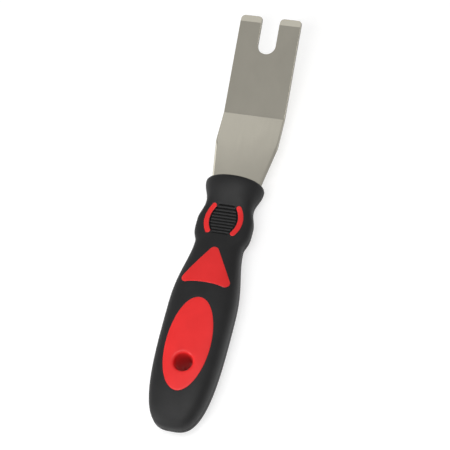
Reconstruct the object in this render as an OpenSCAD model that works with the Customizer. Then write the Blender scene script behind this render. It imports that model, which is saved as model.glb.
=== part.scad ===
// Trim removal tool: a forked, bent steel blade moulded into a two-colour handle.
// It lies on its back: X across, Y from the butt to the fork, Z up from the table.

/* [Handle lengths] */
// From the butt to the widest part of the belly
butt_to_belly = 55.6; // [48:0.1:64]
// From the belly to the waist behind the thumb rest
belly_to_waist = 36; // [32:0.1:44]
// From that waist to the middle of the thumb bulge
waist_to_bulge = 11.6; // [10:0.1:14]
// From the thumb bulge to the throat behind the collar
bulge_to_throat = 9.6; // [8:0.1:12]
// From the throat to the widest part of the collar
throat_to_collar = 10.3; // [8:0.1:12]
// Radius of the collar's front lip
collar_lip = 1.6; // [0.8:0.1:2]

/* [Handle widths] */
// Width at the belly
belly_w = 31; // [28:0.1:35]
// Width at the waist behind the thumb rest
waist_w = 22.8; // [20:0.1:26]
// Width at the thumb bulge
bulge_w = 26.8; // [24:0.1:30]
// Width at the throat behind the collar
throat_w = 22.8; // [20:0.1:25]
// Width at the collar
collar_w = 28.1; // [27:0.1:32]

/* [Handle thicknesses] */
// Thickness at the belly
belly_t = 19.8; // [18:0.1:24]
// Thickness at the thumb rest
thumb_t = 11.3; // [10:0.1:14]
// Thickness at the collar
collar_t = 22; // [20:0.1:26]
// How far the thinnest place lies ahead of the thumb bulge
thumb_lead = 2; // [0:0.1:4]
// Wall of the soft sleeve over the hard core
sleeve_wall = 2.2; // [1.6:0.1:2.6]
// Wall of the soft sleeve at the butt
butt_wall = 4; // [3:0.1:6]
// Wall of the soft sleeve at the front of the collar
front_wall = 4; // [3:0.1:5]

/* [Windows] */
// Length of the oval window
oval_l = 44.4; // [38:0.1:48]
// Width of the oval window
oval_w = 20.4; // [16:0.1:23]
// From the butt to the near end of the oval window
oval_from_butt = 16; // [13:0.1:18]
// From the near end of the oval window to the middle of the hanging hole
hole_from_oval = 13.2; // [11:0.1:17]
// Diameter of the hanging hole
hole_d = 8.4; // [6:0.1:10]
// Radius of the hanging hole's rim
hole_rim = 1.4; // [0.6:0.1:2]
// From the oval window to the base of the triangular window
triangle_gap = 8.8; // [7:0.1:11]
// Length of the triangular window from its base to its point
triangle_l = 18.3; // [14:0.1:20]
// Width of the triangular window at its base
triangle_w = 22.8; // [18:0.1:24]
// Radius of the triangular window's corners
triangle_r = 1.5; // [0.8:0.1:2.2]
// Length of the two thumb bars
bar_l = 15.6; // [12:0.1:17]
// Width of the two thumb bars
bar_w = 2.4; // [1.6:0.1:3]
// Distance between the bars' outer edges
bar_span = 18.2; // [16:0.1:19]
// Radius along the middle of each bar
bar_bow = 12; // [10:0.5:30]
// How far the bars and the ribs between them lie ahead of the thumb bulge
rest_lead = -0.1; // [-1:0.1:1.5]

/* [Thumb ribs] */
// Number of ribs between the thumb bars
rib_count = 9; // [5:1:10]
// Distance from one rib to the next
rib_pitch = 1.6; // [1.2:0.05:1.7]
// Width of the groove between two ribs
rib_groove = 0.7; // [0.4:0.05:0.9]
// Depth of the groove between two ribs
rib_depth = 0.9; // [0.5:0.05:1.2]
// Rubber left between the ends of the grooves and the bars
rib_margin = 0.4; // [0.2:0.1:1]

/* [Blade] */
// Thickness of the sheet
sheet_t = 2.2; // [1.6:0.1:3]
// Width of the blade
blade_w = 30; // [27:0.1:34]
// From the collar to the place where the neck reaches full width
neck_taper_l = 21.8; // [18:0.1:27]
// Width of the neck where it leaves the collar
neck_w = 23.2; // [20:0.1:24]
// From the end of the taper to the corner of the bend
neck_plain_l = 16.7; // [13:0.1:21]
// Angle of the bend
bend_angle = 18.3; // [8:0.1:30]
// Inner radius of the bend
bend_r = 4; // [2:0.5:8]
// From the corner of the bend to the fork's tips
fork_l = 49.2; // [42:0.1:56]
// Width of the fork's slot
slot_w = 8.9; // [7:0.1:11]
// Depth of the fork's slot
slot_l = 18.6; // [14:0.1:22]
// Radius of the tips' corners
tip_r = 2; // [1:0.1:3]
// Length of the ground bevel at the tips
bevel_l = 3.5; // [2:0.1:6]
// Thickness left at the tips
bevel_t = 0.9; // [0.5:0.1:1.4]
// Chamfer along the neck's edges
neck_chamfer = 0.6; // [0.2:0.1:0.7]

/* [Tang] */
// Width of the tang inside the core
tang_w = 13; // [10:0.1:15]
// Length of the tang inside the core
tang_l = 58; // [45:0.5:62]
// Diameter of the tang's two locking holes
lock_d = 5.5; // [4:0.1:7]
// From the shoulders to the first locking hole
lock_from_shoulder = 31; // [27:0.5:33]
// Distance between the two locking holes
lock_pitch = 14; // [10:0.5:16]

/* [Hidden] */

// Bluntness of the butt in plan and from the side
butt_power_w = 3.14;
butt_power_t = 3.4;
// Squareness of the section along the body and at the collar, where 2 is an ellipse
body_power = 3.3;
collar_power = 2.1;
// How late each swell of the handle runs into the next one
belly_ease = 1.33;
waist_ease = 2.32;
collar_ease = 1.07;
dip_ease = 1.05;
flare_ease = 1.2;
// Points round a section and rings along the handle
outer_sides = 40;
inner_sides = 24;
cap_rings = 11;
ring_step = 2;
inner_step = 4;
// Flats along the bend
bend_steps = 12;
// How far the outer tip corners are set out, so that their round cuts the side and doesn't only touch it
tip_out = 0.02;
// Reach of the cutters past the surfaces that they cut
past = 1;

y_belly = butt_to_belly;
y_waist = y_belly + belly_to_waist;
y_bulge = y_waist + waist_to_bulge;
y_throat = y_bulge + bulge_to_throat;
y_collar = y_throat + throat_to_collar;
y_front = y_collar + collar_lip;
y_thin = y_bulge + thumb_lead;
y_rest = y_bulge + rest_lead;
y_core = y_front - front_wall;
y_hole = oval_from_butt + hole_from_oval;
y_oval = oval_from_butt + oval_l / 2;
y_base = oval_from_butt + oval_l + triangle_gap;
y_bend = y_front + neck_taper_l + neck_plain_l;
axis_z = max(belly_t, collar_t) / 2;
bend_mid = bend_r + sheet_t / 2;
bend_run = bend_mid * tan(bend_angle / 2);
neck_slope = (blade_w - neck_w) / 2 / neck_taper_l;
shoulder_w = neck_w - 2 * neck_slope * front_wall;
taper = atan(neck_slope);
bevel_fall = (sheet_t - bevel_t) / bevel_l;
whole_l = y_bend + fork_l * cos(bend_angle) + sheet_t / 2 * sin(bend_angle);
cut_h = max(belly_t, collar_t) + 2 * past;
bar_mid = bar_span / 2 - bar_w / 2;
bar_half_angle = asin((bar_l - bar_w) / 2 / bar_bow);
$fn = 64;

function ease(a, b, t, k) = a + (b - a) * (1 - cos(180 * pow(t, k))) / 2;
function ease_early(a, b, t, k) = ease(b, a, 1 - t, k);

function half_w(y) =
    y < y_belly ? belly_w / 2
        * pow(1 - pow((y_belly - y) / butt_to_belly, butt_power_w), 1 / butt_power_w) :
    y < y_waist ? ease(belly_w / 2, waist_w / 2, (y - y_belly) / belly_to_waist, belly_ease) :
    y < y_bulge ? ease_early(waist_w / 2, bulge_w / 2, (y - y_waist) / waist_to_bulge, waist_ease) :
    y < y_throat ? ease(bulge_w / 2, throat_w / 2, (y - y_bulge) / bulge_to_throat, 1) :
    y < y_collar ? ease(throat_w / 2, collar_w / 2, (y - y_throat) / throat_to_collar, collar_ease) :
    collar_w / 2;

function half_t(y) =
    y < y_belly ? belly_t / 2
        * pow(1 - pow((y_belly - y) / butt_to_belly, butt_power_t), 1 / butt_power_t) :
    y < y_thin ? ease(belly_t / 2, thumb_t / 2, (y - y_belly) / (y_thin - y_belly), dip_ease) :
    y < y_collar ? ease(thumb_t / 2, collar_t / 2, (y - y_thin) / (y_collar - y_thin), flare_ease) :
    collar_t / 2;

function section_power(y) =
    y < y_bulge ? body_power :
    y < y_collar ? ease(body_power, collar_power, (y - y_bulge) / (y_collar - y_bulge), 1) :
    collar_power;

function signed_pow(v, k) = sign(v) * pow(abs(v), k);

// One ring of the handle: a rounded oval section with a flat side on each of the four extremes
function ring(y, w, t, sides) =
    let (k = 2 / section_power(y), full = pow(cos(180 / sides), k))
    [for (i = [0 : sides - 1])
        let (a = 360 * (i + 0.5) / sides)
        [w / full * signed_pow(cos(a), k), y, t / full * signed_pow(sin(a), k)]];

// Closed skin through a row of [place, half width, half thickness]
module loft(stations, sides) {
    last = len(stations) - 1;
    points = [for (s = stations) each ring(s[0], s[1], s[2], sides)];
    walls = [for (k = [0 : last - 1], i = [0 : sides - 1])
        let (a = k * sides + i, b = k * sides + (i + 1) % sides)
        each [[a, b + sides, a + sides], [a, b, b + sides]]];
    butt = [for (i = [sides - 1 : -1 : 0]) i];
    front = [for (i = [0 : sides - 1]) last * sides + i];
    polyhedron(points, concat([butt, front], walls));
}

// Outer surface of the whole handle
module outer_form() {
    cap = [for (i = [0 : cap_rings])
        let (a = 6 + 84 * i / cap_rings, y = butt_to_belly * (1 - pow(cos(a), 2 / butt_power_w)))
        [i == 0 ? 0 : y, half_w(y), half_t(y)]];
    n = ceil((y_collar - y_belly) / ring_step);
    body = [for (i = [1 : n])
        let (y = y_belly + (y_collar - y_belly) * i / n)
        [y, half_w(y), half_t(y)]];
    lip = [for (a = [30, 60, 90])
        let (inset = collar_lip * (1 - cos(a)))
        [y_collar + collar_lip * sin(a), collar_w / 2 - inset, collar_t / 2 - inset]];
    loft(concat(cap, body, lip), outer_sides);
}

// Surface where the hard core and the soft sleeve meet
module inner_form() {
    n = ceil((y_core - butt_wall) / inner_step);
    loft([for (i = [0 : n])
        let (y = butt_wall + (y_core - butt_wall) * i / n)
        [y, half_w(y) - sleeve_wall, half_t(y) - sleeve_wall]], inner_sides);
}

module triangle_plan() {
    reach = triangle_w / 2 - triangle_r;
    hull() {
        for (x = [-reach, reach])
            translate([x, y_base + triangle_r]) circle(triangle_r, $fn = 24);
        translate([0, y_base + triangle_l - triangle_r]) circle(triangle_r, $fn = 24);
    }
}

// One of the two bowed bars beside the thumb rest
module bar_plan() {
    reach = bar_bow * 2;
    translate([bar_mid - bar_bow, y_rest]) {
        intersection() {
            difference() {
                circle(bar_bow + bar_w / 2);
                circle(bar_bow - bar_w / 2);
            }
            polygon([[0, 0], [reach, -reach * tan(bar_half_angle)], [reach, reach * tan(bar_half_angle)]]);
        }
        for (a = [-bar_half_angle, bar_half_angle])
            rotate(a) translate([bar_bow, 0]) circle(bar_w / 2, $fn = 24);
    }
}

module oval_plan() {
    polygon([for (i = [0 : 47])
        let (a = 360 * i / 48)
        [oval_w / 2 * cos(a), y_oval + oval_l / 2 * sin(a)]]);
}

// Columns that stand in the windows, right through the handle
module window_columns() {
    translate([0, 0, -cut_h / 2]) linear_extrude(cut_h) {
        oval_plan();
        triangle_plan();
        bar_plan();
        mirror([1, 0]) bar_plan();
    }
}

// A place on the fork seen from the side: along it from the corner of the bend, and above its middle
function on_fork(along, above) = [
    along * cos(bend_angle) - above * sin(bend_angle),
    along * sin(bend_angle) + above * cos(bend_angle)];

// One side of the bend, from the neck to the fork
function bend_arc(r) = [for (i = [0 : bend_steps])
    let (a = bend_angle * i / bend_steps)
    [r * sin(a) - bend_run, bend_mid - r * cos(a)]];

function reversed(list) = [for (i = [len(list) - 1 : -1 : 0]) list[i]];

// Side view of the bent sheet, with Y to the right and Z up; it runs past the tips
module sheet_profile() {
    h = sheet_t / 2;
    tail = y_core - tang_l - y_bend;
    translate([y_bend, 0]) polygon(concat(
        [[tail, h], [tail, -h]],
        bend_arc(bend_r + sheet_t),
        [on_fork(fork_l + past, -h),
            on_fork(fork_l + past, bevel_t - h - past * bevel_fall),
            on_fork(fork_l - bevel_l, h)],
        reversed(bend_arc(bend_r))));
}

// What is cut away beside the tapered neck, the shoulders and the tang, on one side
module neck_side_plan() {
    y_full = y_front + neck_taper_l;
    y_tail = y_core - tang_l;
    polygon([
        [blade_w / 2, y_full],
        [shoulder_w / 2, y_core],
        [tang_w / 2, y_core],
        [tang_w / 2, y_tail + tang_w / 4],
        [tang_w / 4, y_tail],
        [tang_w / 4, y_tail - past],
        [blade_w / 2 + past, y_tail - past],
        [blade_w / 2 + past, y_full]]);
}

// What is cut from the fork, seen square to it, with the corner of the bend at Y = 0
module fork_plan() {
    y_slot = fork_l - slot_l + slot_w / 2;
    translate([-slot_w / 2, y_slot]) square([slot_w, fork_l]);
    translate([0, y_slot]) circle(d = slot_w);
    translate([-blade_w / 2 - past, fork_l]) square([blade_w + 2 * past, 2 * past]);
    for (side = [0, 1]) mirror([side, 0]) {
        tip_corner(blade_w / 2 + tip_out, 0);
        tip_corner(slot_w / 2, 1);
    }
}

// What rounds one corner of a tine
module tip_corner(x, inner) {
    translate([x, fork_l]) mirror([inner, 0]) difference() {
        translate([-tip_r, -tip_r]) square(tip_r + past);
        translate([-tip_r, -tip_r]) circle(tip_r);
    }
}

// Cutters for the broken edges along one side of the neck, past the corner where the taper ends
module neck_chamfers(side, face) {
    y_full = y_front + neck_taper_l;
    taper_run = (neck_taper_l + front_wall) / cos(taper);
    for (run = [[taper, taper_run + past, past], [0, past, neck_plain_l - bend_run - neck_chamfer]])
        translate([side * blade_w / 2, y_full, face * sheet_t / 2]) rotate(-side * run[0])
            scale([side, 1, face]) translate([0, run[2], 0]) rotate([90, 0, 0])
                linear_extrude(run[1] + run[2])
                    polygon([[-neck_chamfer - past, past], [past, past], [past, -neck_chamfer - past]]);
}

// The whole bent sheet, where it was built
module blade_form() {
    difference() {
        rotate([90, 0, 90]) linear_extrude(blade_w, center = true) sheet_profile();
        translate([0, 0, -cut_h / 2]) linear_extrude(cut_h) {
            for (side = [0, 1]) mirror([side, 0]) neck_side_plan();
            for (i = [0, 1])
                translate([0, y_core - lock_from_shoulder - i * lock_pitch]) circle(d = lock_d);
        }
        translate([0, y_bend, 0]) rotate([bend_angle, 0, 0]) translate([0, 0, -cut_h / 2])
            linear_extrude(cut_h) fork_plan();
        for (side = [-1, 1], face = [-1, 1]) neck_chamfers(side, face);
    }
}

module blade() {
    color([0.68, 0.66, 0.61]) place() blade_form();
}

// Hole for hanging the tool, with a round rim at each mouth
module hang_hole() {
    rim_z = half_t(y_hole);
    translate([0, y_hole, 0]) {
        cylinder(h = cut_h, d = hole_d, center = true);
        for (face = [0, 1]) mirror([0, 0, face]) translate([0, 0, rim_z - hole_rim]) rotate_extrude()
            difference() {
                translate([hole_d / 2 - past, 0]) square([hole_rim + past, hole_rim + past]);
                translate([hole_d / 2 + hole_rim, 0]) circle(hole_rim);
            }
    }
}

module handle_core() {
    color([0.88, 0.2, 0.2]) place() difference() {
        union() {
            inner_form();
            intersection() {
                outer_form();
                window_columns();
            }
        }
        blade_form();
        hang_hole();
    }
}

// Half the length of a groove between two ribs, which follows the bow of the bars as far as they go
function groove_reach(from_rest) =
    let (level = min(abs(from_rest), (bar_l - bar_w) / 2))
    bar_mid - bar_bow + sqrt(pow(bar_bow - bar_w / 2, 2) - pow(level, 2)) - rib_margin;

// Grooves that leave the thumb ribs standing, on both faces
module rib_grooves() {
    for (face = [0, 1], i = [0 : rib_count])
        let (from_rest = (i - rib_count / 2) * rib_pitch)
        let (y = y_rest + from_rest, reach = groove_reach(from_rest))
        mirror([0, 0, face]) translate([-reach, y - rib_groove / 2, half_t(y) - rib_depth])
            cube([2 * reach, rib_groove, rib_depth + past]);
}

module grip_sleeve() {
    color([0.17, 0.17, 0.18]) place() difference() {
        outer_form();
        inner_form();
        window_columns();
        blade_form();
        rib_grooves();
    }
}

// Moves the tool so that the middle of its underside is at the origin
module place() {
    translate([0, -whole_l / 2, axis_z]) children();
}

blade();
handle_core();
grip_sleeve();
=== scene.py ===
import math

import bpy
import numpy as np
from mathutils import Matrix, Vector
from mathutils.geometry import delaunay_2d_cdt


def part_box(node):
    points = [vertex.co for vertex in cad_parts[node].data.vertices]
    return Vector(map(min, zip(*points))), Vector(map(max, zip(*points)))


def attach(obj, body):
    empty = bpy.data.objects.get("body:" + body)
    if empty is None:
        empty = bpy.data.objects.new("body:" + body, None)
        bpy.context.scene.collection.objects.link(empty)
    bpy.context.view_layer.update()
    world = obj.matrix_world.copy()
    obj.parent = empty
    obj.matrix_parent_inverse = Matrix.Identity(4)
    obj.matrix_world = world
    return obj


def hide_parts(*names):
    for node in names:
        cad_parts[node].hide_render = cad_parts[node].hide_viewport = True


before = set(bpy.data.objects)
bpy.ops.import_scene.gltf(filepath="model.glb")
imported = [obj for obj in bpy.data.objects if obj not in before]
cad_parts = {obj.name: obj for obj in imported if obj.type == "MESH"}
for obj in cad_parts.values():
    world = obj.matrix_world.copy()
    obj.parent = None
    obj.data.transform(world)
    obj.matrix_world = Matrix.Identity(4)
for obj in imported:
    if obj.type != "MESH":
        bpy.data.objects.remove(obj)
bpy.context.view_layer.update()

# Blade: a stainless sheet 2.2 mm thick, sheared to a fork, bent up by 18 degrees and brushed lengthwise.
# Its tips are ground thin above, its neck has broken edges, and a narrow tang with square shoulders runs
# back into the handle. All lengths are in millimetres from the butt.
sheet = 2.2
tail, shoulder, taper_end, bend_start = 62.7, 120.7, 146.5, 162.379
tang_half, shoulder_half, neck_half, blade_half, slot_half = 6.5, 11.25, 15.2, 15.0, 4.45
bend_radius, bend = 5.1, math.radians(18.3)
bend_lead, bend_spring = 5.0, math.radians(0.8)
bend_end = bend_start + bend_radius * bend
tip = bend_end + 48.379
slot_middle = tip - 18.6 + slot_half
tip_round, grind, tip_left = 2.0, 3.5, 0.9
neck_break, taper_break, bend_break, fork_break, tang_break = 1.05, 0.5, 0.4, 0.15, 0.2

butt_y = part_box("grip_sleeve")[0].y
axis_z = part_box("grip_sleeve")[1].z / 2


def run(a, b, step):
    """Points from a up to b, without b."""
    a, b = np.array(a, float), np.array(b, float)
    count = max(1, math.ceil(np.linalg.norm(b - a) / step))
    return [a + (b - a) * k / count for k in range(count)]


def bow(centre, radius, start, stop, count):
    """Points along an arc, without its last one."""
    turns = [math.radians(start + (stop - start) * k / count) for k in range(count)]
    return [np.array(centre) + radius * np.array((math.cos(t), math.sin(t))) for t in turns]


def piece(name, points, faces, crease):
    """A mesh in the shared frame, smooth except where its faces meet at more than the crease angle."""
    mesh = bpy.data.meshes.new(name)
    placed = np.asarray(points) / 1000 + (0, butt_y, axis_z)
    mesh.from_pydata(placed.tolist(), [], [list(map(int, f)) for f in faces])
    mesh.shade_smooth()
    mesh.set_sharp_from_angle(angle=math.radians(crease))
    made = bpy.data.objects.new(name, mesh)
    bpy.context.scene.collection.objects.link(made)
    return made


def inside(loop, points):
    """Which of the points lie inside a closed line."""
    a, b = loop, np.roll(loop, -1, axis=0)
    found = np.zeros(len(points), bool)
    for (ax, ay), (bx, by) in zip(a, b):
        if ay != by:
            crosses = (points[:, 1] < ay) != (points[:, 1] < by)
            found ^= crosses & (points[:, 0] < ax + (points[:, 1] - ay) * (bx - ax) / (by - ay))
    return found


bend_rows = np.concatenate([np.linspace(taper_end, bend_start, 20)[1:-1],
                            np.linspace(bend_start, bend_end, 13)])
right_side = [(0.0, tail), (tang_half / 2, tail)]
right_side += run((tang_half, tail + tang_half / 2), (tang_half, shoulder), 4)
right_side += run((tang_half, shoulder), (shoulder_half, shoulder), 2)
right_side += run((shoulder_half, shoulder), (neck_half, taper_end), 1) + [(neck_half, taper_end)]
right_side += [(np.interp(row, (taper_end, bend_end), (neck_half, blade_half)), row)
               for row in bend_rows[:-1]]
right_side += run((blade_half, bend_end), (blade_half, tip - grind), 1)
right_side += run((blade_half, tip - grind), (blade_half, tip - tip_round), 0.5)
right_side += bow((blade_half - tip_round, tip - tip_round), tip_round, 0, 90, 10)
right_side += run((blade_half - tip_round, tip), (slot_half + tip_round, tip), 1)
right_side += bow((slot_half + tip_round, tip - tip_round), tip_round, 90, 180, 10)
right_side += run((slot_half, tip - tip_round), (slot_half, tip - grind), 0.5)
right_side += run((slot_half, tip - grind), (slot_half, slot_middle), 1)
right_side += bow((0, slot_middle), slot_half, 0, -90, 20) + [(0.0, slot_middle - slot_half)]
right_side = np.array(right_side, float)
edge = np.vstack([right_side, (right_side * (-1, 1))[-2:0:-1]])
before, after = edge - np.roll(edge, 1, axis=0), np.roll(edge, -1, axis=0) - edge
before /= np.linalg.norm(before, axis=1)[:, None]
after /= np.linalg.norm(after, axis=1)[:, None]
inward = np.stack([-(before + after)[:, 1], (before + after)[:, 0]], axis=1)
inward /= np.linalg.norm(inward, axis=1)[:, None]
inward /= np.maximum(0.5, (inward * np.stack([-after[:, 1], after[:, 0]], axis=1)).sum(1))[:, None]

# The broken edges are flat along the neck and round along the fork.
broken = np.interp(edge[:, 1], (taper_end - 2, taper_end + 2, bend_start - 3, bend_start + 3),
                   (neck_break, taper_break, bend_break, fork_break))
broken[edge[:, 1] < shoulder] = tang_break
roundness = np.interp(edge[:, 1], (taper_end - 2, taper_end + 2), (1.1, 2))

around = len(edge)
levels = [(math.radians(a), -1) for a in range(90, -1, -10)]
levels += [(math.radians(a), 1) for a in range(0, 91, 10)]
flat = []
for a, face in levels:
    set_in = broken * (1 - math.cos(a) ** (2 / roundness))
    set_down = broken * (1 - math.sin(a) ** (2 / roundness))
    flat.append(np.column_stack([edge + inward * set_in[:, None], face * (sheet / 2 - set_down)]))
inner_gap = 0.4
inner_line = np.column_stack([inner_gap * inward, np.zeros(around)])
flat = [flat[0] + inner_line] + flat + [flat[-1] + inner_line]
blade_faces = []
for k in range(len(flat) - 1):
    for i in range(around):
        j = (i + 1) % around
        blade_faces.append((k * around + i, k * around + j, (k + 1) * around + j, (k + 1) * around + i))

# Both faces are filled in, with rows of points where the sheet bends.
border = flat[-1][:, :2]
middles = [np.array((x, row)) for row in bend_rows for x in (-10.0, -5.0, 0.0, 5.0, 10.0)]
plan = np.vstack([border, middles])
seams = [(i, (i + 1) % around) for i in range(around)]
for row in list(bend_rows) + [tip - grind]:
    on_row = np.flatnonzero(np.abs(plan[:, 1] - row) < 0.02)
    on_row = on_row[np.argsort(plan[on_row, 0])]
    for a, b in zip(on_row[:-1], on_row[1:]):
        if row < slot_middle - slot_half or plan[a, 0] * plan[b, 0] > 0:
            seams.append((int(a), int(b)))
_, _, triangles, came_from, _, _ = delaunay_2d_cdt([Vector(p) for p in plan], seams, [], 0, 1e-7)
lookup = np.array([c[0] for c in came_from])
triangles = lookup[np.array(triangles)]
triangles = triangles[inside(border, plan[triangles].mean(1))]
base = len(flat) * around
numbers = np.arange(len(plan))
upper = np.where(numbers < around, base - around + numbers, base + numbers - around)
lower = np.where(numbers < around, numbers, upper + len(middles))
a, b, c = (plan[triangles[:, k]] for k in range(3))
turned = (b - a)[:, 0] * (c - a)[:, 1] - (b - a)[:, 1] * (c - a)[:, 0] < 0
triangles[turned] = triangles[turned][:, ::-1]
blade_faces += [tuple(upper[t]) for t in triangles] + [tuple(lower[t][::-1]) for t in triangles]
fillings = [np.column_stack([middles, np.full(len(middles), face * sheet / 2)]) for face in (1, -1)]
blade_points = np.vstack(flat + fillings)

# The flat blank is ground thin at its tips and then bent.
ground = np.clip((blade_points[:, 1] - (tip - grind)) / grind, 0, 1)
x, along, height = blade_points.T
height = (height + sheet / 2) * (1 - ground * (1 - tip_left / sheet)) - sheet / 2
turn = np.clip((along - bend_start) / bend_radius, 0, bend)
reach = bend_radius - height
past_bend = np.maximum(along - bend_end, 0)
bent_y = np.minimum(along, bend_start) + reach * np.sin(turn) + past_bend * math.cos(bend)
sprung = bend_lead * bend_spring * (1 - np.exp(np.minimum(along - bend_start, 0) / bend_lead))
bent_z = bend_radius - reach * np.cos(turn) + past_bend * math.sin(bend) - sprung
blade = piece("steel_blade", np.column_stack([x, bent_y, bent_z]), blade_faces, 15)


def finish_of(name, colour, metallic, roughness):
    """A surface finish with its shader, and the place on the tool as texture coordinates in metres."""
    finish = bpy.data.materials.new(name)
    finish.use_nodes = True
    nodes, links = finish.node_tree.nodes, finish.node_tree.links
    shader = nodes["Principled BSDF"]
    shader.inputs["Base Color"].default_value = (*colour, 1)
    shader.inputs["Metallic"].default_value = metallic
    shader.inputs["Roughness"].default_value = roughness
    place = nodes.new("ShaderNodeTexCoord").outputs["Object"]
    return finish, nodes, links, shader, place


def noise(nodes, links, place, stretch, scale, detail):
    """Noise over the tool, stretched along each axis."""
    mapping = nodes.new("ShaderNodeMapping")
    mapping.inputs["Scale"].default_value = stretch
    links.new(place, mapping.inputs["Vector"])
    texture = nodes.new("ShaderNodeTexNoise")
    texture.inputs["Scale"].default_value = scale
    texture.inputs["Detail"].default_value = detail
    links.new(mapping.outputs["Vector"], texture.inputs["Vector"])
    return texture.outputs["Fac"]


def spread(nodes, links, source, low, high):
    """The noise's useful middle, spread over a range of values."""
    step = nodes.new("ShaderNodeMapRange")
    step.inputs["From Min"].default_value = 0.3
    step.inputs["From Max"].default_value = 0.7
    step.inputs["To Min"].default_value = low
    step.inputs["To Max"].default_value = high
    links.new(source, step.inputs["Value"])
    return step.outputs["Result"]


def tint(nodes, links, source, dark, light):
    """A colour that runs from dark to light with the noise."""
    ramp = nodes.new("ShaderNodeValToRGB")
    ramp.color_ramp.elements[0].position, ramp.color_ramp.elements[1].position = 0.3, 0.7
    ramp.color_ramp.elements[0].color = (*dark, 1)
    ramp.color_ramp.elements[1].color = (*light, 1)
    links.new(source, ramp.inputs["Fac"])
    return ramp.outputs["Color"]


def grain(nodes, links, shader, source, depth):
    """Fine relief in the surface, of that depth in metres."""
    relief = nodes.new("ShaderNodeBump")
    relief.inputs["Distance"].default_value = depth
    links.new(source, relief.inputs["Height"])
    links.new(relief.outputs["Normal"], shader.inputs["Normal"])


steel, nodes, links, shader, place = finish_of("brushed_steel", (0.69, 0.655, 0.558), 1.0, 0.15)
brushing = noise(nodes, links, place, (1, 0.01, 1), 6000, 3)
haze = noise(nodes, links, place, (1, 0.7, 1), 90, 4)
steel_tint = tint(nodes, links, haze, (0.67, 0.637, 0.542), (0.71, 0.675, 0.574))
links.new(steel_tint, shader.inputs["Base Color"])
links.new(spread(nodes, links, brushing, 0.13, 0.17), shader.inputs["Roughness"])
grain(nodes, links, shader, brushing, 0.0000013)
blade.data.materials.append(steel)
# The sheared edge is rough like a real one, and it is coloured darker than the steel as painted shade on its
# walls.
sheared, nodes, links, shader, place = finish_of("sheared_edge_painted_shade", (0.3, 0.288, 0.25), 1.0, 0.5)
tearing = noise(nodes, links, place, (1, 1, 0.2), 1500, 3)
edge_painted_shade_tint = tint(nodes, links, tearing, (0.27, 0.258, 0.222), (0.33, 0.316, 0.275))
links.new(edge_painted_shade_tint, shader.inputs["Base Color"])
links.new(spread(nodes, links, tearing, 0.42, 0.58), shader.inputs["Roughness"])
blade.data.materials.append(sheared)

# Only the rows of faces in the middle of the edge are left as sheared, and their darker colour is painted
# shade.
sheared_from, sheared_to = 8 * around, 13 * around
for face in blade.data.polygons[sheared_from:sheared_to]:
    face.material_index = 1
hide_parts("blade")
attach(blade, "root")

# Core: the hard red half of the moulding, which holds the tang and comes up flush in windows of the grip:
# an oval with the hanging hole, a triangle that points at the fork, and two bowed bars beside the thumb.
# It is satin, with the mould's fine grain, and the hanging hole has a round rim at both mouths.
belly, waist, bulge, thin, throat, collar, front = 55.6, 91.6, 103.2, 105.2, 112.8, 123.1, 124.7
belly_half, waist_half, bulge_half, throat_half, collar_half = 15.5, 11.4, 13.4, 11.4, 14.05
belly_high, thin_high, collar_high = 9.9, 5.65, 11.0
butt_full, butt_full_high, grip_square, collar_square, slit_square = 3.14, 3.4, 3.3, 2.1, 5
lip, wall, seam_depth, parting_depth, parting_half = 1.6, 2.2, 0.1, 0.09, 0.22
collar_thinning, thinning_start, thinning_run, slit_gap = 1.0, 119, 4, 0.05
hole_y, hole_radius, hole_rim = 29.2, 4.2, 1.4
oval_half, oval_long, oval_middle = 10.3, 22.7, 38.2
rest, bar_middle, bar_bow, bar_half, bar_long = 103.1, 7.95, 12.0, 1.2, 6.6
ribs, rib_pitch, rib_half, rib_depth = 9, 1.6, 0.68, 0.9


def swell(a, b, t, late):
    """From a to b in a soft S; a late one keeps to a for longer."""
    return a + (b - a) * (1 - np.cos(math.pi * np.clip(t, 0, 1) ** late)) / 2


def round_end(half, y, fullness):
    """The butt's outline, which closes in a full round end."""
    return half * np.maximum(0, 1 - np.clip((belly - y) / belly, 0, 1) ** fullness) ** (1 / fullness)


def half_width(y):
    """Half the handle's width at a length from the butt."""
    butt = round_end(belly_half, y, butt_full)
    to_waist = swell(belly_half, waist_half, (y - belly) / (waist - belly), 1.33)
    to_bulge = swell(bulge_half, waist_half, 1 - (y - waist) / (bulge - waist), 2.32)
    to_throat = swell(bulge_half, throat_half, (y - bulge) / (throat - bulge), 1)
    to_collar = swell(throat_half, collar_half, (y - throat) / (collar - throat), 1.07)
    return np.select([y < belly, y < waist, y < bulge, y < throat],
                     [butt, to_waist, to_bulge, to_throat], to_collar)


def half_thickness(y):
    """Half the handle's height there."""
    butt = round_end(belly_high, y, butt_full_high)
    dip = swell(belly_high, thin_high, (y - belly) / (thin - belly), 1.05)
    flare = swell(thin_high, collar_high, (y - thin) / (collar - thin), 1.2)
    return np.select([y < belly, y < thin], [butt, dip], flare)


def squareness(y):
    """How square the section is: 2 would be an ellipse."""
    return swell(grip_square, collar_square, (y - bulge) / (collar - bulge), 1)


def beside(loop, distance):
    """The closed line that runs outside another one at a distance."""
    along = np.roll(loop, -1, axis=0) - np.roll(loop, 1, axis=0)
    along /= np.linalg.norm(along, axis=1)[:, None]
    return loop + distance * np.stack([along[:, 1], -along[:, 0]], axis=1)


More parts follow.
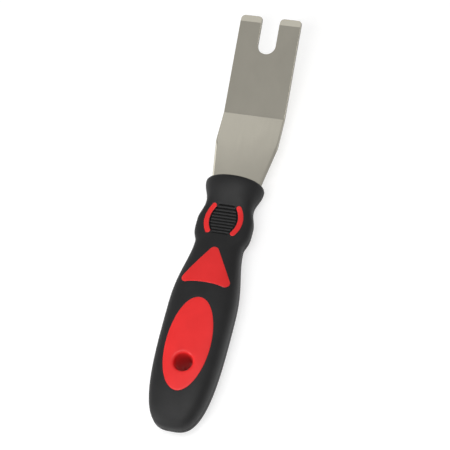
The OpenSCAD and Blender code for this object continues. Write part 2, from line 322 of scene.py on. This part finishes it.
# The windows' outlines, seen from above.
turns = np.linspace(0, 2 * math.pi, 240, endpoint=False)
oval = np.column_stack([oval_half * np.cos(turns), oval_middle + oval_long * np.sin(turns)])
corner, point_up, corner_round, base_round = np.array((9.1, 70.25)), np.array((0.0, 85.8)), 2.3, 43.4
lean = math.degrees(math.atan2(*(corner - point_up)[::-1])) + 90
dip = math.degrees(math.asin(corner[0] / (base_round + corner_round)))
flank = corner_round * np.array((math.cos(math.radians(lean)), math.sin(math.radians(lean))))
base_hub = (0, corner[1] - (base_round + corner_round) * math.cos(math.radians(dip)))
triangle = bow(corner, corner_round, -90 - dip, lean, 14) + run(corner + flank, point_up + flank, 0.45)
triangle += bow(point_up, corner_round, lean, 180 - lean, 14)
triangle += run((point_up + flank) * (-1, 1), (corner + flank) * (-1, 1), 0.45)
triangle += bow(corner * (-1, 1), corner_round, 180 - lean, 270 + dip, 14)
triangle += bow(base_hub, base_round, 90 + dip, 90 - dip, 40)
triangle = np.array(triangle)
swing = math.degrees(math.asin(bar_long / bar_bow))
hub = np.array((bar_middle - bar_bow, rest))
end_low = hub + bar_bow * np.array((math.cos(math.radians(swing)), -math.sin(math.radians(swing))))
end_high = hub + bar_bow * np.array((math.cos(math.radians(swing)), math.sin(math.radians(swing))))
bar = bow(hub, bar_bow + bar_half, -swing, swing, 36) + bow(end_high, bar_half, swing, swing + 180, 12)
bar += bow(hub, bar_bow - bar_half, swing, -swing, 32) + bow(end_low, bar_half, 180 - swing, 360 - swing, 12)
bar = np.array(bar)
far_bar = (bar * (-1, 1))[::-1]
rim_radius = hole_radius + hole_rim
rim = np.column_stack([rim_radius * np.cos(turns[::3]), hole_y + rim_radius * np.sin(turns[::3])])
windows = [oval, triangle, bar, far_bar]

# The upper half of the handle's skin is laid out flat, in turns round the handle and length along it.
parting_turns = np.array((0, 0.012, 0.03, 0.055))
angles = np.linspace(0, math.pi, 77)[2:-2]
angles = np.sort(np.concatenate([angles, parting_turns, math.pi - parting_turns]))
sweep = np.linspace(0, math.pi / 2, 4000)
cap_x = belly_half * np.sin(sweep) ** (2 / butt_full)
cap_y = belly * (1 - np.cos(sweep) ** (2 / butt_full))
cap_run = np.concatenate([[0], np.cumsum(np.hypot(np.diff(cap_x), np.diff(cap_y)))])
cap_rows = np.interp(np.linspace(0.5, cap_run[-1], 76), cap_run, cap_y)
rows = np.concatenate([cap_rows, np.linspace(belly, collar, 70)[1:]])
row_run = np.concatenate([np.linspace(0.5, cap_run[-1], 76), cap_run[-1] + rows[76:] - belly])
stations = [(y, half_width(y), half_thickness(y), squareness(y), s) for y, s in zip(rows, row_run)]
for a in np.radians((15, 30, 45, 60, 75, 90)):
    inset = lip * (1 - math.cos(a))
    stations.append((collar + lip * math.sin(a), collar_half - inset, collar_high - inset, collar_square,
                     row_run[-1] + lip * a))
neck_at_front = np.interp(front, (shoulder, taper_end), (shoulder_half, neck_half)) + slit_gap
face_half, face_high, slit_high = collar_half - lip, collar_high - lip, sheet / 2 + slit_gap
for k in (0.25, 0.5, 0.75, 1):
    stations.append((front, face_half + (neck_at_front - face_half) * k,
                     face_high + (slit_high - face_high) * k,
                     collar_square + (slit_square - collar_square) * k, stations[-1][4] + 2))
stations = np.array(stations)
unroll = 14.0


def on_skin(turn, y, w, t, power):
    """Points on the handle's skin, each at a turn round its section."""
    c, s = np.cos(turn), np.sin(turn)
    s = np.where((turn < 1e-9) | (turn > math.pi - 1e-9), 0, s)
    return np.column_stack([w * np.sign(c) * np.abs(c) ** (2 / power), y, t * np.abs(s) ** (2 / power)])


def turn_at(plan):
    """The turn round the handle at which points seen from above lie."""
    x, y = plan.T
    return np.arccos(np.sign(x) * np.abs(x / half_width(y)) ** (squareness(y) / 2))


# A grid over the skin leaves room for the windows, the hole and the thumb ribs, which bring their own points.
grid_turn, grid_row = np.meshgrid(angles, np.arange(len(stations)))
grid_turn, grid_row = grid_turn.ravel(), grid_row.ravel()
grid = on_skin(grid_turn, *stations[grid_row][:, :4].T)
clear = np.ones(len(grid), bool)
for loop in windows + [rim]:
    close = (grid[:, 1] > loop[:, 1].min() - 1) & (grid[:, 1] < loop[:, 1].max() + 1) & (grid_row < len(rows))
    gaps = np.linalg.norm(grid[close][:, None, :2] - loop[None], axis=2).min(1)
    clear[np.flatnonzero(close)[gaps < 0.5]] = False
clear[np.flatnonzero(inside(rim, grid[:, :2]) & (grid_row < len(rows)))] = False
rest_edge = hub[0] + np.sqrt(np.maximum(0, (bar_bow - bar_half) ** 2 - (grid[:, 1] - rest) ** 2))
panel_half = (ribs + 1) / 2 * rib_pitch
panel = (np.abs(grid[:, 1] - rest) < panel_half) & (np.abs(grid[:, 0]) < rest_edge) & (grid_row < len(rows))
clear[panel] = False
grid_turn, grid_row = grid_turn[clear], grid_row[clear]

lines = [(loop, -seam_depth) for loop in windows] + [(rim, 0.0)]
for loop in windows:
    lines += [(beside(loop, -0.3), 0.0), (beside(loop, -0.12), -0.3 * seam_depth),
              (beside(loop, 0.12), -0.3 * seam_depth), (beside(loop, 0.3), 0.0)]
loop_plan = np.vstack([loop for loop, _ in lines])
loop_sink = np.concatenate([np.full(len(loop), depth) for loop, depth in lines])
rib_rows = rest + np.arange(-panel_half, panel_half + 0.01, rib_pitch / 10)
rib_plan = []
for y in rib_rows:
    reach_x = hub[0] + math.sqrt((bar_bow - bar_half) ** 2 - (y - rest) ** 2) - 0.45
    across = np.concatenate([np.linspace(-reach_x, 0, 16), np.linspace(0, reach_x, 16)[1:]])
    rib_plan += [(x, y) for x in across]
rib_plan = np.array(rib_plan)
to_bar = np.linalg.norm(rib_plan[:, None] - np.vstack([bar, far_bar])[None], axis=2).min(1)
rib_plan, to_bar = rib_plan[to_bar > 0.4], to_bar[to_bar > 0.4]
phase = np.abs(((rib_plan[:, 1] - rest) / rib_pitch + 0.5) % 1 - 0.5) * rib_pitch
standing = np.maximum(0, 1 - (phase / rib_half) ** 2.5) ** 0.4 * np.clip((to_bar - 0.4) / 0.2, 0, 1)
standing = np.where(np.abs(rib_plan[:, 1] - rest) > panel_half - 0.3, 1, standing)
rib_sink = -rib_depth * (1 - standing)

free_plan = np.vstack([loop_plan, rib_plan])
free_turn = turn_at(free_plan)
free_y = free_plan[:, 1]
skin = np.vstack([on_skin(free_turn, free_y, half_width(free_y), half_thickness(free_y), squareness(free_y)),
                  on_skin(grid_turn, *stations[grid_row][:, :4].T)])
from_parting = np.minimum(grid_turn, math.pi - grid_turn) * unroll
sink = np.concatenate([loop_sink, rib_sink, -parting_depth * np.exp(-(from_parting / parting_half) ** 2)])
sink[len(free_plan):][grid_row >= len(rows) + 6] = 0
layout = np.vstack([np.column_stack([free_turn * unroll, np.interp(free_y, rows, row_run)]),
                    np.column_stack([grid_turn * unroll, stations[grid_row][:, 4]])])
seams, starts, at = [], [], 0
for loop in windows + [rim]:
    starts.append(at)
    seams += [(at + i, at + (i + 1) % len(loop)) for i in range(len(loop))]
    at += len(loop)
_, _, triangles, came_from, _, _ = delaunay_2d_cdt([Vector(p) for p in layout], seams, [], 0, 1e-7)
lookup = np.array([c[0] for c in came_from])
triangles = lookup[np.array(triangles)]
a, b, c = (layout[triangles[:, k]] for k in range(3))
signed = (b - a)[:, 0] * (c - a)[:, 1] - (b - a)[:, 1] * (c - a)[:, 0]
triangles, signed = triangles[np.abs(signed) > 1e-9], signed[np.abs(signed) > 1e-9]
triangles[signed > 0] = triangles[signed > 0][:, ::-1]
middle = layout[triangles].mean(1)
is_red = np.zeros(len(triangles), bool)
for start, loop in zip(starts[:4], windows):
    is_red |= inside(layout[start:start + len(loop)], middle)
in_hole = inside(layout[starts[4]:starts[4] + len(rim)], middle)
red, black = triangles[is_red & ~in_hole].tolist(), triangles[~is_red].tolist()

# The rim and the upper half of the hanging hole go on below the loop where they start.
ring = list(range(starts[4], starts[4] + len(rim)))
mouth = skin[ring]
extra = []
for a in np.radians((12, 25, 38, 51, 64, 77, 90)):
    shrink = (hole_radius + hole_rim * (1 - math.sin(a))) / rim_radius
    extra.append(np.column_stack([mouth[:, 0] * shrink, hole_y + (mouth[:, 1] - hole_y) * shrink,
                                  mouth[:, 2] - hole_rim * (1 - math.cos(a))]))
for k in (0.75, 0.5, 0.25, 0):
    extra.append(extra[6] * (1, 1, k))
for k, row in enumerate(extra):
    fresh = list(range(len(skin) + k * len(rim), len(skin) + (k + 1) * len(rim)))
    for i in range(len(rim)):
        j = (i + 1) % len(rim)
        red.append([ring[i], fresh[j], fresh[i]])
        red.append([ring[i], ring[j], fresh[j]])
    ring = fresh
skin = np.vstack([skin] + extra)
sink = np.concatenate([sink, np.zeros(len(skin) - len(sink))])

# The butt closes on one point, and the under half of the skin mirrors the upper one.
pole = len(skin)
first = np.flatnonzero(np.isclose(layout[:, 1], row_run[0]))
first = first[np.argsort(layout[first, 0])]
black += [[int(i), int(j), pole] for i, j in zip(first[:-1], first[1:])]
skin, sink = np.vstack([skin, (0, 0, 0)]), np.append(sink, 0)
count = len(skin)
under = np.where(skin[:, 2] == 0, np.arange(count), np.cumsum(skin[:, 2] != 0) - 1 + count)
skin = np.vstack([skin, (skin * (1, 1, -1))[skin[:, 2] != 0]])
sink = np.concatenate([sink, sink[skin[:count, 2] != 0]])
red, black = np.array(red), np.array(black)
red = np.vstack([red, under[red][:, ::-1]])
black = np.vstack([black, under[black][:, ::-1]])


# The core's skin lies a wall's thickness under the grip and comes up to the surface in the windows.
def outward(points, faces):
    """The direction that points away from the body at each point."""
    a, b, c = (points[faces[:, k]] for k in range(3))
    normals = np.zeros_like(points)
    for k in range(3):
        np.add.at(normals, faces[:, k], np.cross(b - a, c - a))
    return normals / np.maximum(1e-12, np.linalg.norm(normals, axis=1))[:, None]


def border_of(faces):
    """Edges that only one of the faces has, in that face's direction."""
    sides = np.vstack([faces[:, (0, 1)], faces[:, (1, 2)], faces[:, (2, 0)]])
    known = set(map(tuple, sides.tolist()))
    return [(i, j) for i, j in sides.tolist() if (j, i) not in known]


normals = outward(skin, np.vstack([red, black]))
depth = wall - collar_thinning * np.clip((skin[:, 1] - thinning_start) / thinning_run, 0, 1)
under_skin = skin - normals * depth[:, None]
surface = skin + normals * sink[:, None]
total = len(skin)
all_points = np.vstack([surface, under_skin])
core_faces = red.tolist() + (black + total).tolist()
core_faces += [(j, i, i + total, j + total) for i, j in border_of(red)]
window_edges = {frozenset(e) for e in border_of(red)}
slit = [e for e in border_of(black) if frozenset(e) not in window_edges]
core_faces += [(j + total, i + total, 2 * total) for i, j in slit]
tang_mouth = under_skin[[i for i, _ in slit]].mean(0)


def used_only(points, faces):
    """Only those points that the faces use."""
    keep = sorted({i for f in faces for i in f})
    fresh = {old: new for new, old in enumerate(keep)}
    return points[keep], [[fresh[i] for i in f] for f in faces]


core = piece("red_core", *used_only(np.vstack([all_points, tang_mouth]), core_faces), 50)
plastic, nodes, links, shader, place = finish_of("red_plastic", (0.735, 0.02, 0.02), 0.0, 0.42)
cloud = noise(nodes, links, place, (1, 1, 1), 120, 3)
mould = noise(nodes, links, place, (1, 1, 1), 2200, 2)
plastic_tint = tint(nodes, links, cloud, (0.705, 0.018, 0.018), (0.765, 0.022, 0.022))
links.new(plastic_tint, shader.inputs["Base Color"])
links.new(spread(nodes, links, mould, 0.38, 0.47), shader.inputs["Roughness"])
grain(nodes, links, shader, mould, 0.000008)
shader.inputs["Specular IOR Level"].default_value = 0.35
core.data.materials.append(plastic)
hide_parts("handle_core")
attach(core, "root")

# Grip: the soft black half of the moulding, shot over the core and the neck's root, with a flared collar.
# It is matte rubber with a fine grain, a faint parting line round its middle and cross ribs under the thumb.
grip_faces = black.tolist() + (black[:, ::-1] + total).tolist()
grip_faces += [(j, i, i + total, j + total) for i, j in border_of(black)]
grip = piece("black_grip", *used_only(all_points, grip_faces), 50)
rubber, nodes, links, shader, place = finish_of("black_rubber", (0.0108, 0.0108, 0.0111), 0.0, 0.58)
cloud = noise(nodes, links, place, (1, 1, 1), 160, 4)
skin_grain = noise(nodes, links, place, (1, 1, 1), 3200, 2)
rubber_tint = tint(nodes, links, cloud, (0.0094, 0.0094, 0.0097), (0.0122, 0.0122, 0.0126))
links.new(rubber_tint, shader.inputs["Base Color"])
links.new(spread(nodes, links, skin_grain, 0.54, 0.62), shader.inputs["Roughness"])
grain(nodes, links, shader, skin_grain, 0.00001)
shader.inputs["Specular IOR Level"].default_value = 0.33
grip.data.materials.append(rubber)
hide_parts("grip_sleeve")
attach(grip, "root")

# Table: a plain white sheet that the tool lies on, which takes its soft shadow.
# It is seen as white, except close under the handle, where its white lift fades out in a soft painted shadow.
table_mesh = bpy.data.meshes.new("table")
table_mesh.from_pydata([(-3, -3, 0), (3, -3, 0), (3, 3, 0), (-3, 3, 0)], [], [(0, 1, 2, 3)])
table = bpy.data.objects.new("table", table_mesh)
bpy.context.scene.collection.objects.link(table)
paper, nodes, links, shader, place = finish_of("white_sheet", (0.5, 0.5, 0.5), 0.0, 0.9)
fibre = noise(nodes, links, place, (1, 1, 1), 400, 2)
paper_tint = tint(nodes, links, fibre, (0.495, 0.495, 0.495), (0.505, 0.505, 0.505))
links.new(paper_tint, shader.inputs["Base Color"])
shader.inputs["Specular IOR Level"].default_value = 0.0
# Painted shadow: the lift falls to nothing in a soft oval under the handle.
shade_half, shade_from_butt = (0.011, 0.046), 0.048
from_middle = nodes.new("ShaderNodeMapping")
from_middle.inputs["Location"].default_value = (0, -(butt_y + shade_from_butt) / shade_half[1], 0)
from_middle.inputs["Scale"].default_value = (1 / shade_half[0], 1 / shade_half[1], 0)
links.new(place, from_middle.inputs["Vector"])
away = nodes.new("ShaderNodeVectorMath")
away.operation = "LENGTH"
links.new(from_middle.outputs["Vector"], away.inputs[0])
lift_with_painted_shadow = nodes.new("ShaderNodeMapRange")
lift_with_painted_shadow.interpolation_type = "SMOOTHSTEP"
for socket, value in (("From Min", 0.55), ("From Max", 1.0), ("To Min", 0.0), ("To Max", 0.63)):
    lift_with_painted_shadow.inputs[socket].default_value = value
links.new(away.outputs["Value"], lift_with_painted_shadow.inputs["Value"])
sight = nodes.new("ShaderNodeLightPath")
seen = sight.outputs["Is Camera Ray"]
for other, join in ((sight.outputs["Is Glossy Ray"], "MAXIMUM"),
                    (sight.outputs["Is Transmission Ray"], "MAXIMUM"),
                    (lift_with_painted_shadow.outputs["Result"], "MULTIPLY")):
    both = nodes.new("ShaderNodeMath")
    both.operation = join
    links.new(seen, both.inputs[0])
    links.new(other, both.inputs[1])
    seen = both.outputs["Value"]
shader.inputs["Emission Color"].default_value = (1, 1, 1, 1)
links.new(seen, shader.inputs["Emission Strength"])
table_mesh.materials.append(paper)

# Studio: a dim pale tent, with a soft lamp close above the butt, wide ones from the right, the left
# and the front, and a faint one behind the fork.
world = bpy.data.worlds.new("studio")
bpy.context.scene.world = world
world.use_nodes = True
world.node_tree.nodes["Background"].inputs["Color"].default_value = (0.412, 0.412, 0.412, 1)
for name, place, size, power in (("key_lamp", (0, -0.165, 0.38), 0.16, 0.6),
                                 ("right_lamp", (0.3, -0.1, 0.9), 0.4, 0.9),
                                 ("left_lamp", (-0.797, -0.797, 0.41), 0.6, 6.0),
                                 ("front_lamp", (0, -1.128, 0.41), 0.5, 1.6),
                                 ("back_lamp", (-0.19, 0.457, 0.495), 0.3, 0.07)):
    lamp = bpy.data.lights.new(name, "AREA")
    lamp.shape, lamp.size, lamp.energy = "DISK", size, power
    stand = bpy.data.objects.new(name, lamp)
    stand.location = place
    stand.rotation_euler = (-Vector(place)).to_track_quat("-Z", "Y").to_euler()
    bpy.context.scene.collection.objects.link(stand)
bpy.context.scene.view_settings.view_transform = "Standard"

# Camera: from the butt's right and high above, rolled so that the tool stands almost upright in the picture.
azimuth, elevation, roll = (math.radians(a) for a in (29.136, 60.571, -17.601))
back = Vector((math.sin(azimuth) * math.cos(elevation), -math.cos(azimuth) * math.cos(elevation),
               math.sin(elevation)))
level = Vector((math.cos(azimuth), math.sin(azimuth), 0))
right = Matrix.Rotation(roll, 3, back) @ level
up = back.cross(right)
lens = bpy.data.cameras.new("camera")
lens.sensor_width, lens.lens = 36, 137.63
camera = bpy.data.objects.new("camera", lens)
aim, distance = Vector((-0.000116, butt_y + 0.103182, axis_z)), 0.8
facing = Matrix((right, up, back)).transposed().to_4x4()
camera.matrix_world = Matrix.Translation(aim + distance * back) @ facing
bpy.context.scene.collection.objects.link(camera)
bpy.context.scene.camera = camera
